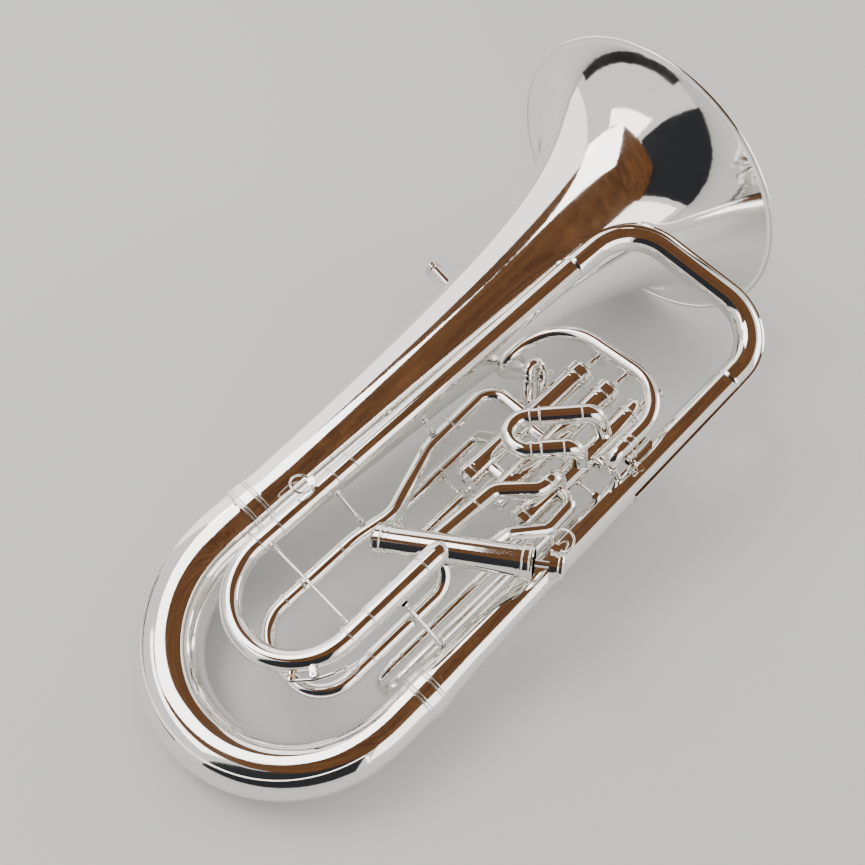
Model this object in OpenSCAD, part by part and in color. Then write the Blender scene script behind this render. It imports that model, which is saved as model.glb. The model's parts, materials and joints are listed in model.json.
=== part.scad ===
// Compensating tenor tuba (euphonium), three top valves and a fourth side valve.
// Sizes in millimetres. The horn is drawn in its own plane: u across from the bell to the
// outer branch, v along the bell, w towards the player's far side. One last turn lays it on
// its bell rim and bottom bow, with +Z up.

/* [Bell] */
// Radius of the bell mouth over the rolled rim
bell_r = 151; // [130:1:170]
// Height of the bell mouth above the foot of the bottom bow
bell_top = 655; // [600:1:720]
// How far inside the mouth the flare starts, as the horn curve's offset
flare_offset = 37; // [28:1:50]
// Power of the horn curve
flare_power = 0.61; // [0.55:0.01:0.68]
// Thickness of the bell sheet
sheet = 0.9; // [0.7:0.1:1.4]
// Radius of the wire rolled into the rim
rim_wire_r = 1.5; // [1:0.1:2]

/* [Large tubes] */
// Distance from the bell axis to the outer branch
branch_u = 210.5; // [195:0.5:230]
// Height of the two joints above the foot
joint_v = 166; // [150:1:175]
// Outer radius of the bottom bow at the bell
bow_bell_r = 31; // [26:0.5:34]
// Outer radius of the bottom bow at the outer branch
bow_branch_r = 18.2; // [15:0.2:21]
// Outer radius of the outer branch at its top
branch_top_r = 11.9; // [10.5:0.1:13]
// Outer radius of the inner branch at its top
inner_top_r = 11.2; // [9.8:0.1:12]
// Distance from the bell axis to the inner branch
inner_u = 52; // [46:1:60]
// Height of the inner branch above the plane of the bell
inner_w = 48; // [42:1:54]
// Top of the top bow, at its centre line
crown_v = 576.5; // [560:0.5:600]
// Wall of the tubes
wall = 0.7; // [0.5:0.1:1]

/* [Main tuning slide] */
// Centre distance of the two legs
tuning_span = 106; // [96:1:112]
// Outer radius of the tuning slide tube
tuning_r = 8.4; // [7.6:0.1:8.8]
// Height of the bow's centre
tuning_v = 145; // [135:1:155]

/* [Valves] */
// Bore radius of a top valve's casing
valve_bore_r = 10.2; // [9.4:0.1:11]
// Bore radius of the fourth valve's casing
valve4_bore_r = 11.2; // [10.4:0.1:12]
// Wall of a valve casing
casing_wall = 0.8; // [0.6:0.1:1]
// Distance between the three top valves
valve_pitch = 29.7; // [27.5:0.1:34]
// Distance from the bell axis to the third valve
valve_u = 111; // [105:1:116]
// Height of the top valves' axes above the plane of the bell
valve_w = 8; // [4:1:12]
// Lower end of the three top casings
valve_foot_v = 307; // [298:1:310]
// Length of a top valve casing
valve_len = 131; // [124:1:136]
// Length of the fourth valve casing
valve4_len = 114; // [106:1:118]
// Stroke of a valve
stroke = 16; // [13:0.5:17]
// Radial clearance of a piston in its casing
piston_fit = 0.04; // [0.02:0.01:0.08]
// Radius of a finger button
button_r = 10.4; // [9:0.1:11]

/* [Slides] */
// Outer radius of the valve slides' tubes
slide_r = 6.2; // [5.8:0.1:6.8]
// Radial clearance of a slide in its sleeve
slide_fit = 0.06; // [0.03:0.01:0.1]
// Wall of a slide sleeve
sleeve_wall = 0.7; // [0.5:0.1:1]
// Outer radius of the leadpipe
lead_r = 6.2; // [5.8:0.1:6.6]

/* [Hidden] */
$fn = 64;

touch = 0.02;            // play between pieces that are soldered face to face
bow_r = branch_u / 2;    // centre-line radius of the bottom bow
bow_v = bow_r + 25.2;    // height of the bottom bow's centre
ferrule_len = 18;
ferrule_wall = 1.3;
function bore_r(i) = i == 4 ? valve4_bore_r : valve_bore_r;
function casing_r(i) = bore_r(i) + casing_wall;
function cap_r(i) = casing_r(i) + 1.2;
sleeve_in = slide_r + slide_fit;
sleeve_r = sleeve_in + sleeve_wall;
tuning_in = tuning_r + slide_fit;
tuning_sleeve_r = tuning_in + sleeve_wall;

// The lie: the rim and the foot of the bow both touch the ground.
rim_r = bell_r;
foot_r = 24.25;          // outer radius of the bow at its foot, with its guard
lie = asin((rim_r * cos(11) - foot_r) / (bell_top - foot_r));
lift = (bell_r - rim_wire_r) * cos(lie) + rim_wire_r - (bell_top - sheet + touch) * sin(lie);
// Where the ground lies under the horn's own plane, at height v.
function ground_w(v) = -(v * sin(lie) + lift) / cos(lie);
button_reach = 3.05;     // how far the side valve's button sits beyond the outer branch, halved
half_x = (branch_u + bow_branch_r + ferrule_wall + touch - rim_r) / 2 + button_reach;
half_y = (bell_top * cos(lie) + rim_r * sin(lie)) / 2;

silver = [0.86, 0.85, 0.82];

module lay()
{
    translate([-half_x, -half_y, lift]) rotate([lie, 0, 0]) color(silver) children();
}

// ---- vectors and paths -------------------------------------------------------------------
function unit(a) = a / norm(a);
function side(d) = unit(cross(d, abs(d.z) < 0.9 ? [0, 0, 1] : [1, 0, 0]));
function mix(a, b, k) = a + (b - a) * k;

// Puts local x, y, z along three unit vectors at point c.
module frame_at(c, x, y, z)
{
    multmatrix([[x.x, y.x, z.x, c.x], [x.y, y.y, z.y, c.y], [x.z, y.z, z.z, c.z], [0, 0, 0, 1]])
        children();
}

// Puts local z along the line from a to b.
module along(a, b)
{
    d = unit(b - a);
    frame_at(a, side(d), cross(d, side(d)), d) children();
}

module ring_face(r_out, r_in)
{
    difference() {
        circle(r_out);
        if (r_in > 0) circle(r_in);
    }
}

// Straight tube or, with r_in 0, rod.
module tube(a, b, r_out, r_in = 0)
{
    along(a, b) linear_extrude(height = norm(b - a)) ring_face(r_out, r_in);
}

// Cylinder from a to b, to cut with.
module cut(a, b, r) { along(a, b) cylinder(h = norm(b - a), r = r); }

// Tangent length of the bend at point i of a path of [point, bend radius].
function bend_t(p, i) = i <= 0 || i >= len(p) - 1 ? 0
    : let (d = unit(p[i][0] - p[i - 1][0]), e = unit(p[i + 1][0] - p[i][0]))
      p[i][1] * tan(acos(min(1, d * e)) / 2);

// A bent tube of constant bore through a path of [point, bend radius]. The bends are a hair
// thinner in the wall than the straights, which run a little way over them.
seam = 0.03;
lap = 0.3;
module pipe(p, r_out, r_in = 0)
{
    n = len(p) - 1;
    for (i = [0 : n - 1]) {
        d = unit(p[i + 1][0] - p[i][0]);
        a = p[i][0] + (bend_t(p, i) - (i > 0 ? lap : 0)) * d;
        b = p[i + 1][0] - (bend_t(p, i + 1) - (i < n - 1 ? lap : 0)) * d;
        tube(a, b, r_out, r_in);
    }
    if (n > 1) for (i = [1 : n - 1]) {
        d = unit(p[i][0] - p[i - 1][0]);
        e = unit(p[i + 1][0] - p[i][0]);
        turn = acos(min(1, d * e));
        centre = p[i][0] + unit(e - d) * p[i][1] / cos(turn / 2);
        x = unit(p[i][0] - bend_t(p, i) * d - centre);
        frame_at(centre, x, d, cross(x, d)) rotate_extrude(angle = turn)
            translate([p[i][1], 0]) ring_face(r_out - seam, r_in > 0 ? r_in + seam : 0);
    }
}

// Half-turn bow between points a and b, opening along dir.
module half_bow(a, b, dir, r_out, r_in)
{
    x = unit(a - b);
    frame_at((a + b) / 2, x, -dir, cross(x, -dir)) rotate_extrude(angle = 180)
        translate([norm(b - a) / 2, 0]) ring_face(r_out - seam, r_in + seam);
}

// Rings along a sweep: each station is [point, tangent, radius], and ref is off the path's plane.
function ring_pts(s, r, ref, sides, from = 0, to = 360) =
    let (x = unit(cross(ref, s[1])), y = cross(s[1], x))
    [for (k = [0 : sides - 1])
        let (a = from + (to - from) * k / (to - from == 360 ? sides : sides - 1))
        s[0] + r * (cos(a) * x + sin(a) * y)];

// A tapering tube swept through stations, open at both ends.
module tapered(stations, thick, ref, sides = 40)
{
    n = len(stations);
    outer = [for (s = stations) each ring_pts(s, s[2], ref, sides)];
    inner = [for (s = stations) each ring_pts(s, s[2] - thick, ref, sides)];
    m = n * sides;
    walls = [for (j = [0 : n - 2], k = [0 : sides - 1])
        let (a = j * sides + k, b = j * sides + (k + 1) % sides, c = b + sides, d = a + sides)
        each [[d, c, b, a], [m + a, m + b, m + c, m + d]]];
    ends = [for (k = [0 : sides - 1])
        let (b = (k + 1) % sides, e = (n - 1) * sides)
        each [[k, b, m + b, m + k], [e + b, e + k, m + e + k, m + e + b]]];
    polyhedron(concat(outer, inner), concat(walls, ends), convexity = 8);
}

// A strip that hugs the outside of a sweep, over part of its round.
module hugging(stations, gap, thick, ref, from, to, sides = 12)
{
    n = len(stations);
    rows = [for (s = stations) concat(
        ring_pts(s, s[2] + gap + thick, ref, sides, from, to),
        [for (k = [sides - 1 : -1 : 0]) ring_pts(s, s[2] + gap, ref, sides, from, to)[k]])];
    w = 2 * sides;
    skin = [for (j = [0 : n - 2], k = [0 : w - 1])
        let (a = j * w + k, b = j * w + (k + 1) % w)
        [a + w, b + w, b, a]];
    polyhedron([for (r = rows) each r],
        concat(skin, [[for (k = [0 : w - 1]) k]], [[for (k = [w - 1 : -1 : 0]) (n - 1) * w + k]]),
        convexity = 8);
}

// ---- the large bore ----------------------------------------------------------------------
function horn_r(v) = bell_r * pow(flare_offset / (flare_offset + bell_top - v), flare_power);
bell_steps = 30;
bell_mouth_v = bell_top - rim_wire_r - sheet;
bell_stem_r = bow_bell_r;
// Outer profile of the bell: the horn curve, blended into a straight stub at the joint.
function bell_profile(off) = [for (i = [0 : bell_steps])
    let (k = 1 - pow(1 - i / bell_steps, 2), v = mix(joint_v, bell_mouth_v, k))
    [max(bell_stem_r, horn_r(v)) - off * (v < joint_v + 1 ? 1 : 1.1), v]];

module bell()
{
    lay() rotate([-90, 0, 0]) mirror([0, 0, 0]) rotate_extrude($fn = 96)
        polygon([for (p = concat(bell_profile(0), [for (i = [bell_steps : -1 : 0]) bell_profile(sheet)[i]]))
            [p.x, p.y]]);
}

module bell_rim_wire()
{
    rim = horn_r(bell_mouth_v);
    lay() rotate([-90, 0, 0]) translate([0, 0, bell_mouth_v + rim_wire_r + touch])
        rotate_extrude($fn = 96) translate([bell_r - rim_wire_r, 0]) circle(rim_wire_r);
}

bow_sides = 40;
bow_steps = 26;
// Radius of the bow after a share k of its half turn.
function bow_radius(k) = bow_branch_r + (bow_bell_r - bow_branch_r) * pow(1 - k, 1.2);
bow_stations = concat(
    [[[0, joint_v, 0], [0, -1, 0], bow_bell_r]],
    [for (i = [0 : bow_steps])
        let (a = 180 * i / bow_steps)
        [[bow_r - bow_r * cos(a), bow_v - bow_r * sin(a), 0], [sin(a), -cos(a), 0],
            bow_radius(i / bow_steps)]],
    [[[branch_u, joint_v, 0], [0, 1, 0], bow_branch_r]]);

module bottom_bow() { lay() tapered(bow_stations, wall + 0.1, [0, 0, 1], bow_sides); }

module bottom_bow_guard()
{
    kept = [for (i = [4 : bow_steps - 2]) bow_stations[i]];
    lay() hugging(kept, 0.16, 0.8, [0, 0, 1], 180 - 58, 180 + 58, 14);
}

// Ferrule over a joint, with two raised beads at each end.
module ferrule(u, r, v)
{
    a = [u, v - ferrule_len / 2, 0];
    b = [u, v + ferrule_len / 2, 0];
    tube(a, b, r + touch + ferrule_wall, r + touch);
    for (k = [0.06, 0.2, 0.8, 0.94])
        along(mix(a, b, k), b) rotate_extrude() translate([r + touch + ferrule_wall, 0]) circle(0.8, $fn = 24);
}

module bell_ferrule() { lay() ferrule(0, bow_bell_r + 0.04, joint_v); }
module branch_ferrule() { lay() ferrule(branch_u, bow_branch_r, joint_v - 4); }

branch_top_v = crown_v - 60;
branch_lean = 5.5;        // how far the outer branch leans in towards its top
branch_top = [branch_u - branch_lean, branch_top_v, 0];
function branch_at(v) = [branch_u - branch_lean * (v - joint_v) / (branch_top_v - joint_v), v, 0];
module outer_branch()
{
    h = norm(branch_top - [branch_u, joint_v, 0]) - 0.6;
    stub = ferrule_len / 2 - 2;
    shape = [[bow_branch_r - 0.25, 0], [bow_branch_r - 0.25, stub], [bow_branch_r - 2.1, stub + 24],
        [branch_top_r + 2.2, stub + 82], [branch_top_r + 0.9, h * 0.5], [branch_top_r, h]];
    lay() along([branch_u, joint_v + 0.32, 0], branch_top) rotate_extrude()
        polygon(concat(shape, [for (i = [len(shape) - 1 : -1 : 0]) [shape[i].x - wall, shape[i].y]]));
}

// The top bow: up the inner branch, over a slanting crown, and down into the outer branch.
crown_r = 47;
crown = [[inner_u, branch_top_v - 18, inner_w], [inner_u + 6.5, crown_v - 11, inner_w + 8],
    [branch_top.x - 1, crown_v + 6, 3], branch_top];
function arc_stations(p, i, r, steps) =
    let (d = unit(p[i] - p[i - 1]), e = unit(p[i + 1] - p[i]), turn = acos(d * e),
        t = r * tan(turn / 2), c = p[i] + unit(e - d) * r / cos(turn / 2),
        x = unit(p[i] - t * d - c))
    [for (k = [0 : steps]) let (a = turn * k / steps)
        [c + r * (cos(a) * x + sin(a) * d), -sin(a) * x + cos(a) * d]];
crown_line = concat([[crown[0], [0, 1, 0]]], arc_stations(crown, 1, crown_r, 12),
    arc_stations(crown, 2, crown_r, 12), [[crown[3], [0, -1, 0]]]);
crown_stations = [for (i = [0 : len(crown_line) - 1])
    [crown_line[i][0], crown_line[i][1], mix(inner_top_r, branch_top_r, i / (len(crown_line) - 1))]];
crown_ref = unit(cross([0, 1, 0], [branch_u - inner_u, 0, -inner_w]));

module top_bow() { lay() tapered(crown_stations, wall, crown_ref, 32); }

// Half-round guard along the outside of the top bow and down the outer branch.
guard_w = 64;             // degrees of the tube's round that the guard covers
guard_foot_v = 366;
module top_bow_guard()
{
    last = len(crown_stations) - 1;
    run = concat([for (i = [10 : last]) crown_stations[i]],
        [for (v = [branch_top_v - 12 : -24 : guard_foot_v])
            [branch_at(v), [0, -1, 0], branch_top_r + 0.1 + 1.1 * (branch_top_v - v) / 160]]);
    lay() hugging(run, 0.1, 1.2, crown_ref, 180 - guard_w / 2, 180 + guard_w / 2, 8);
}

inner_foot_v = 243;
tuning_left = [inner_u, tuning_v, inner_w];
tuning_right = [inner_u + tuning_span, tuning_v, inner_w];
module inner_branch()
{
    h = branch_top_v - 18 - inner_foot_v - touch;
    lay() translate([inner_u, inner_foot_v, inner_w]) rotate([-90, 0, 0]) rotate_extrude()
        polygon([[tuning_sleeve_r, 0], [tuning_sleeve_r, 10], [inner_top_r, h],
            [inner_top_r - wall, h], [tuning_sleeve_r - wall, 10], [tuning_sleeve_r - wall, 0]]);
}

// ---- valves ------------------------------------------------------------------------------
up = [0, 1, 0];
valve4_foot = [114.5, 212.3, inner_w - 6];
valve4_up = unit([0.832, 0.555, 0]);
function foot(i) = i == 4 ? valve4_foot : [valve_u + (3 - i) * valve_pitch, valve_foot_v, valve_w];
function axis(i) = i == 4 ? valve4_up : up;
function height(i) = i == 4 ? valve4_len : valve_len;
function cap_foot_h(i) = i == 4 ? 6 : 8;
function cap_top_h(i) = i == 4 ? 8 : 12;
thread_h = 5;
rest_gap = 3;             // space above a piston at rest
spring_h = stroke + 14;   // room for the spring under the piston

// Places children with z along valve i, from the foot of its casing.
module valve(i) { along(foot(i), foot(i) + axis(i)) children(); }

// Space that valve i's casing takes, to cut tubes with.
module valve_space(i) { valve(i) translate([0, 0, -cap_foot_h(i)]) cylinder(h = height(i) + 30, r = casing_r(i) + touch); }

module casing(i)
{
    lay() valve(i) {
        linear_extrude(height = height(i)) ring_face(casing_r(i), bore_r(i));
        for (z = [thread_h + 2.5, height(i) - thread_h - 3.5])
            translate([0, 0, z]) linear_extrude(height = 1.6) ring_face(casing_r(i) + 0.9, casing_r(i) - 0.2);
    }
}

module top_caps()
{
    lay() for (i = [1 : 4]) valve(i) translate([0, 0, height(i) - thread_h]) difference() {
        union() {
            cylinder(h = cap_top_h(i), r = cap_r(i));
            translate([0, 0, cap_top_h(i)]) cylinder(h = 2, r1 = cap_r(i) - 1.2, r2 = cap_r(i) - 4);
            translate([0, 0, 1.2]) rotate_extrude() translate([cap_r(i), 0]) circle(0.7, $fn = 24);
            translate([0, 0, cap_top_h(i) - 1.6]) rotate_extrude() translate([cap_r(i), 0]) circle(0.7, $fn = 24);
        }
        translate([0, 0, -1]) cylinder(h = thread_h + 1 + touch, r = casing_r(i) + touch);
        if (i == 4) cylinder(h = 40, r = button_r + 0.5);
        else {
            translate([0, 0, -1]) cylinder(h = cap_top_h(i), r = bore_r(i) - 1);
            cylinder(h = 40, r = stem_r + 0.6);
        }
    }
}

module bottom_caps()
{
    lay() for (i = [1 : 4]) valve(i) translate([0, 0, -cap_foot_h(i) + thread_h]) difference() {
        union() {
            translate([0, 0, -3]) cylinder(h = 3, r1 = cap_r(i) - 4, r2 = cap_r(i) - 1);
            cylinder(h = cap_foot_h(i), r = cap_r(i));
            translate([0, 0, cap_foot_h(i) - 1.4]) rotate_extrude() translate([cap_r(i), 0]) circle(0.7, $fn = 24);
        }
        translate([0, 0, cap_foot_h(i) - thread_h - touch]) cylinder(h = 9, r = casing_r(i) + touch);
        translate([0, 0, -1]) cylinder(h = 4, r = bore_r(i) - 2);
        translate([0, 0, -5]) cylinder(h = 6, r = 2);
    }
}

stem_r = 2.6;
well = 12;                // room inside the fourth casing for its button
function piston_r(i) = bore_r(i) - piston_fit;
function piston_h(i) = height(i) - spring_h - rest_gap - (i == 4 ? well : 4);
port_r = 5.6;

module piston(i)
{
    h = piston_h(i);
    lay() valve(i) translate([0, 0, spring_h]) difference() {
        cylinder(h = h, r = piston_r(i));
        // chamber for the spring, open below
        translate([0, 0, -1]) cylinder(h = 13, r = piston_r(i) - 1.8);
        // passages: straight through, slanting, and one bent down to the next row
        for (k = [0 : 2]) {
            a = [-piston_r(i) - 2, 0, 24 + k * (i == 4 ? 14 : 20)];
            b = [piston_r(i) + 2, 0, 24 + k * (i == 4 ? 14 : 20) + (k == 1 ? 6 : -6)];
            rotate([0, 0, k * 60]) cut(a, b, port_r);
        }
        // socket for the stem
        translate([0, 0, h - 8]) cylinder(h = 9, r = stem_r + touch);
    }
}

// From the top of the piston to the underside of the button.
function stem_len(i) = i == 4 ? rest_gap + well + 15.5 : rest_gap + 4 + cap_top_h(i) - thread_h + 3 + stroke;
function cup_h(i) = i == 4 ? 6 : 0;
module button(i)
{
    z0 = spring_h + piston_h(i) - 7.9;
    z1 = spring_h + piston_h(i) + stem_len(i);
    lay() valve(i) {
        translate([0, 0, z0]) cylinder(h = z1 - z0 + 1, r = stem_r);
        if (i == 4) translate([0, 0, z1]) {
            cylinder(h = 4, r = button_r);
            translate([0, 0, 4]) cylinder(h = 2, r = button_r - 1.2);
        }
        translate([0, 0, z1 + cup_h(i)]) difference() {
            union() {
                cylinder(h = 1.2, r1 = button_r - 1.6, r2 = button_r);
                translate([0, 0, 1.2]) cylinder(h = 2.2, r = button_r);
                translate([0, 0, 3.4]) cylinder(h = 1, r1 = button_r, r2 = button_r - 1);
            }
            translate([0, 0, 2.6]) cylinder(h = 4, r = button_r - 2.4);
        }
    }
}

module pearl(i)
{
    z1 = spring_h + piston_h(i) + stem_len(i) + cup_h(i) + 2.6 + touch;
    lay() valve(i) translate([0, 0, z1]) {
        cylinder(h = 1.6, r = button_r - 2.4 - touch);
        translate([0, 0, 1.6]) cylinder(h = 0.7, r1 = button_r - 2.4 - touch, r2 = button_r - 5);
    }
}

// Coil spring between the bottom cap and the piston.
spring_r = 6.9;
spring_wire = 0.55;
spring_turns = 8;
spring_facets = 10;
module coil_spring(i)
{
    z0 = thread_h - cap_foot_h(i) - 1 + spring_wire + 0.05;
    z1 = spring_h + 12 - spring_wire - 0.2;
    count = spring_turns * spring_facets;
    stations = [for (k = [0 : count])
        let (a = 360 * k / spring_facets, z = mix(z0, z1, k / count), rise = (z1 - z0) / spring_turns / 2 / PI / spring_r)
        [[spring_r * cos(a), spring_r * sin(a), z], unit([-sin(a), cos(a), rise]), spring_wire]];
    rows = [for (s = stations) each ring_pts(s, s[2], [0, 0, 1], 4)];
    n = len(stations);
    lay() valve(i) polyhedron(rows, concat(
        [for (j = [0 : n - 2], k = [0 : 3]) let (a = j * 4 + k, b = j * 4 + (k + 1) % 4) [a + 4, b + 4, b, a]],
        [[0, 1, 2, 3]], [[n * 4 - 1, n * 4 - 2, n * 4 - 3, n * 4 - 4]]), convexity = 10);
}

// ---- leadpipe ----------------------------------------------------------------------------
lead_w = 34;
lead_top_v = 460;
lead_leg_u = foot(1).x + 24;
lead_port_v = 383;
receiver_out = [-128, 480, -62];
receiver_in = [-84, 472.3, -62.6];
lead_path = [[receiver_in, 0], [[46, 449.5, -64.4], 26], [[58, 393, 16], 14], [[66, lead_top_v, lead_w], 52],
    [[lead_leg_u, lead_top_v, lead_w], 42], [[lead_leg_u, lead_port_v, lead_w], 8.6],
    [[lead_leg_u - 3.5, lead_port_v + 3, valve_w], 8], [[foot(1).x, lead_port_v + 5, valve_w], 0]];
module bead(p, d, r, size = 0.8)
{
    along(p, p + d) rotate_extrude() translate([r + 0.3 * size, 0]) circle(size, $fn = 24);
}

module leadpipe()
{
    lay() difference() {
        union() {
            pipe(lead_path, lead_r, lead_r - wall);
            bead([lead_leg_u, 406.5, lead_w], up, lead_r, 0.9);
            bead([lead_leg_u, 400.5, lead_w], up, lead_r, 0.9);
        }
        valve_space(1);
    }
}

receiver_bore_r = 6.0;
receiver_deep = 26;
module mouthpiece_receiver()
{
    d = unit(receiver_in - receiver_out);
    base = receiver_in + 12 * d;
    lay() difference() {
        union() {
            tube(receiver_out, base, receiver_bore_r + 1.2);
            for (k = [1, 4.5]) tube(receiver_out + k * d, receiver_out + (k + 2) * d, receiver_bore_r + 2.6);
            tube(base - 6 * d, base, receiver_bore_r + 2.2);
            tube(base - 22 * d, base - 20 * d, receiver_bore_r + 2);
        }
        cut(receiver_out - d, receiver_out + receiver_deep * d, receiver_bore_r);
        cut(receiver_out, base + d, 4.6);
        cut(receiver_in, base + d, lead_r + 0.05);
    }
}

// ---- main tuning slide -------------------------------------------------------------------
tuning_pull = 20;         // how far the slide stands out at rest
function above(p, dv) = p + [0, dv, 0];
module tuning_sleeves()
{
    lay() {
        difference() {
            union() {
                tube(above(tuning_left, tuning_pull), [inner_u, inner_foot_v - touch, inner_w], tuning_sleeve_r, tuning_in);
                for (v = [1.4, inner_foot_v - tuning_v - tuning_pull - 20, inner_foot_v - tuning_v - tuning_pull - 1.5])
                    bead(above(tuning_left, tuning_pull + v), up, tuning_sleeve_r);
            }
        }
        difference() {
            union() {
                tube(above(tuning_right, tuning_pull), above(tuning_right, 84), tuning_sleeve_r, tuning_in);
                pipe([[above(tuning_right, 83), 0], [above(tuning_right, 96), 9.6],
                    [above(tuning_right, 96) - [0, 0, 10.4], 0]], tuning_sleeve_r, tuning_in);
                for (v = [1.4, 54]) bead(above(tuning_right, tuning_pull + v), up, tuning_sleeve_r);
            }
            valve_space(4);
        }
    }
}

// U-shaped slide: two legs from a bow, reaching up into the sleeves.
module u_slide(a, b, dir, leg, r, bore, collar)
{
    half_bow(a, b, dir, r, bore);
    for (p = [a, b]) {
        tube(p - lap * dir, p + leg * dir, r, bore);
        tube(p, p + 3 * dir, r + collar, r - 0.1);
        bead(p + 1.5 * dir, dir, r + collar, 0.6);
    }
}

module main_tuning_slide()
{
    lay() {
        u_slide(tuning_left, tuning_right, up, 70, tuning_r, tuning_r - wall, 1);
        // seat and saddle of the water key
        tube(key_seat, key_seat + 2.4 * key_out, 3.2, 1.4);
        for (s = [-1, 1]) difference() {
            tube(key_pivot + [0, 0, s * 4.2], key_pivot + [0, 0, s * 5.8], 2.4);
            cut(key_pivot - [0, 0, 9], key_pivot + [0, 0, 9], 1.03);
        }
        difference() {
            tube(key_pivot_base, key_pivot_base + 2.5 * key_pivot_out, 2.8);
            cut(key_pivot - [0, 0, 9], key_pivot + [0, 0, 9], 3.6);
        }
        for (s = [-1, 1]) difference() {
            hull() for (q = [key_pivot_base, key_pivot]) translate(q + [0, 0, s * 5]) cube([3, 3, 1.5], center = true);
            cut(key_pivot - [0, 0, 9], key_pivot + [0, 0, 9], 1.03);
            cut(above(tuning_right, -60), above(tuning_right, 60), 2);
        }
    }
}

// Turned brace between two points, with beads by each end.
module turned_brace(a, b, r)
{
    d = unit(b - a);
    tube(a, b, r);
    for (e = [[a, d], [b, -d]]) {
        tube(e[0], e[0] + 1.4 * e[1], r + 1.6);
        for (k = [3.4, 6.4]) bead(e[0] + k * e[1], e[1], r, 0.85);
    }
}

brace_v = 8;
module tuning_slide_brace()
{
    reach = tuning_r + touch;
    lay() turned_brace(above(tuning_left, brace_v) + [reach, 0, 0], above(tuning_right, brace_v) - [reach, 0, 0], 1.4);
}

// ---- water key ---------------------------------------------------------------------------
key_mid = (tuning_left + tuning_right) / 2;
key_a = -46;              // angle of the seat round the bow
key_b = -31;              // angle of the pivot round the bow
key_out = [cos(key_a), sin(key_a), 0];
key_pivot_out = [cos(key_b), sin(key_b), 0];
key_seat = key_mid + (tuning_span / 2 + tuning_r - 0.6) * key_out;
key_pivot_base = key_mid + (tuning_span / 2 + tuning_r - 0.4) * key_pivot_out;
key_pivot = key_mid + (tuning_span / 2 + tuning_r + 4.4) * key_pivot_out;
key_cup = key_seat + 4.4 * key_out;

module water_key()
{
    tip = key_pivot + [13, 26, -3];
    bend = key_pivot + [8.4, 11, 0];
    lay() {
        difference() {
            union() {
                tube(key_cup, key_cup + 2.2 * key_out, 4);
                tube(key_pivot - [0, 0, 4], key_pivot + [0, 0, 4], 2.3);
                pipe([[key_cup + 1.7 * key_out, 0], [key_pivot + 2.5 * key_pivot_out, 6], [bend, 8], [tip, 0]], 1.5);
                hull() for (q = [tip, mix(bend, tip, 0.6)]) translate(q) scale([0.5, 1, 1]) sphere(3.4, $fn = 24);
            }
            cut(key_pivot - [0, 0, 9], key_pivot + [0, 0, 9], 1.05);
        }
    }
}

module key_cork()
{
    lay() color([0.62, 0.40, 0.20]) tube(key_seat + (2.4 + touch) * key_out, key_cup - touch * key_out, 3.4);
}

module key_pin()
{
    lay() tube(key_pivot - [0, 0, 6.4], key_pivot + [0, 0, 6.4], 1);
}

module key_spring()
{
    lay() for (s = [-1, 1]) along(key_pivot + [0, 0, s * 3.1], key_pivot + [0, 0, s * 9])
        rotate_extrude() translate([2.9, 0]) circle(0.4, $fn = 24);
}

// ---- valve slides ------------------------------------------------------------------------
first_w = 39;
first_dir = unit([0.70, 0.714, 0]);
first_side = [-first_dir.y, first_dir.x, 0];
first_half = 15.2;
first_bow = [133.1, 356.3, first_w];
first_a = first_bow + first_half * first_side;
first_b = first_bow - first_half * first_side;
first_r = 6.8;
first_sleeve_r = first_r + slide_fit + sleeve_wall;
// Length of each sleeve up to its elbow over the first valve.
first_reach = [54, 38];

module first_sleeves()
{
    lay() difference() {
        union() for (k = [0, 1]) {
            p = k == 0 ? first_a : first_b;
            q = p + first_reach[k] * first_dir;
            pipe([[p + 8 * first_dir, 0], [q, 9.5], [[foot(1).x, q.y, valve_w], 0]], first_sleeve_r, first_r + slide_fit);
            bead(p + 9.4 * first_dir, first_dir, first_sleeve_r);
            bead(q - 11 * first_dir, first_dir, first_sleeve_r, 0.6);
        }
        valve_space(1);
    }
}

// Small turned pull knob.
module pull_knob(p, d)
{
    tube(p, p + 3.4 * d, 1.6);
    translate(p + 4.6 * d) sphere(2.6, $fn = 32);
}

module first_slide()
{
    lay() {
        u_slide(first_a, first_b, first_dir, 28, first_r, first_r - wall, 0.9);
        pull_knob(first_bow - (first_half - first_r + 0.2) * first_dir, first_dir);
    }
}

second_r = 5.3;
second_dir = unit([-0.45, 0.54, 0.7]);
second_side = unit(cross(cross(second_dir, [0.5, 0.42, -0.75]), second_dir));
second_bow = [83, 416, 12];
second_half = 7.1;
second_ends = [second_bow - second_half * second_side, second_bow + second_half * second_side];
second_port_v = [395.5, 410];
second_sleeve_r = second_r + slide_fit + sleeve_wall;
module second_sleeves()
{
    lay() difference() {
        union() for (k = [0, 1]) {
            p = second_ends[k];
            pipe([[p - 5 * second_dir, 0], [p - 25 * second_dir, 8], [[foot(2).x - 5, second_port_v[k], -14], 8],
                [[foot(2).x, second_port_v[k], valve_w], 0]], second_sleeve_r, second_r + slide_fit);
            bead(p - 6.4 * second_dir, second_dir, second_sleeve_r, 0.7);
        }
        valve_space(2);
        valve_space(3);
    }
}

module second_slide()
{
    lay() {
        u_slide(second_ends[0], second_ends[1], -second_dir, 16, second_r, second_r - wall, 0.8);
        pull_knob(second_ends[1] + (second_r - 0.3) * second_side - 2.2 * second_dir, second_side);
    }
}

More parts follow.
